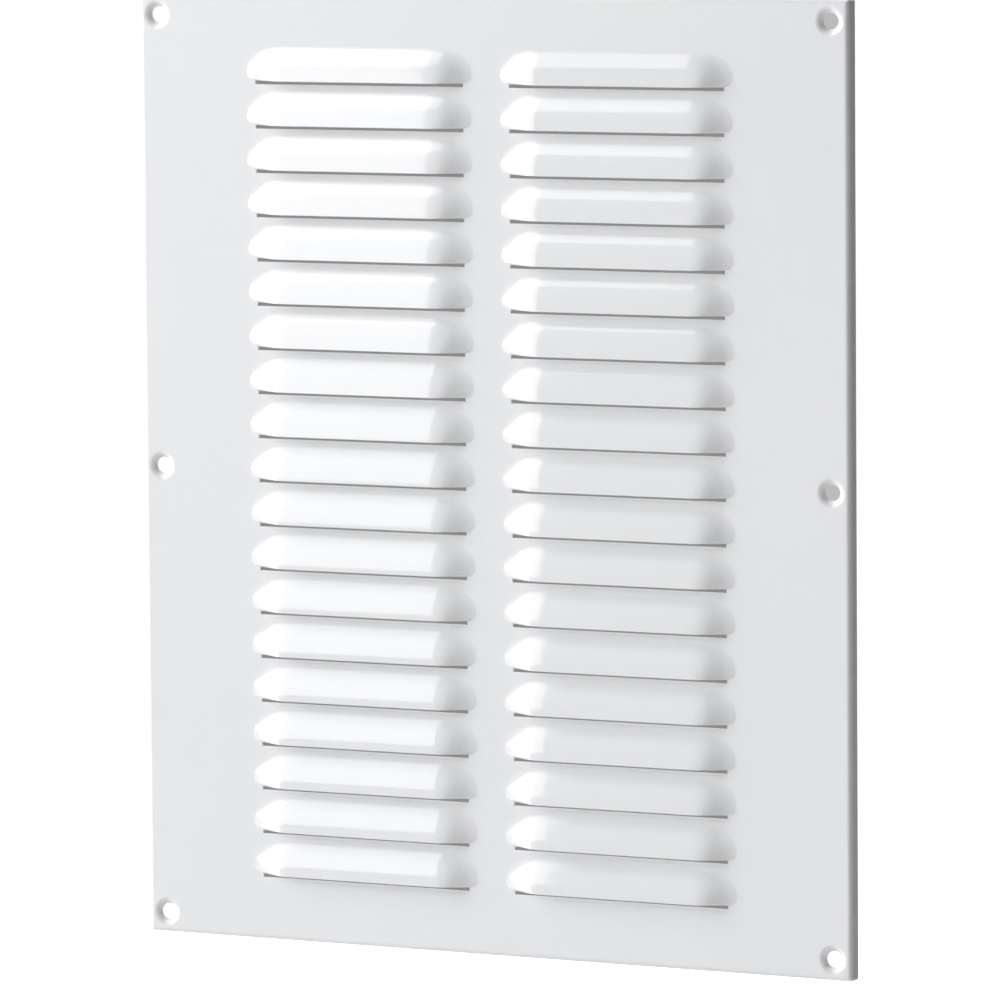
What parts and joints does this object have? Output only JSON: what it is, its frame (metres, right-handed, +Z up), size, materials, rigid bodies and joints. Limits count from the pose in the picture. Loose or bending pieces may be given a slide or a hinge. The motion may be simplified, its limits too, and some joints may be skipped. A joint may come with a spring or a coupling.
{
  "type": "ventilation grille",
  "caption": "White pressed sheet-metal ventilation grille with two columns of louvres, a rim folded back all round and dimpled screw holes along its sides.",
  "frame": {"origin": "middle of the plane in which the back edge of the rim meets the wall", "axes": "+X to the right seen from the front, +Y into the wall, +Z up; the louvres face -Y and open downwards"},
  "size_m": [0.25, 0.0087, 0.3],
  "materials": {
    "white_paint": "smooth glossy white stove enamel on pressed steel sheet"
  },
  "bodies": {
    "root": {"louvre_plate": "white_paint"}
  },
  "joints": []
}
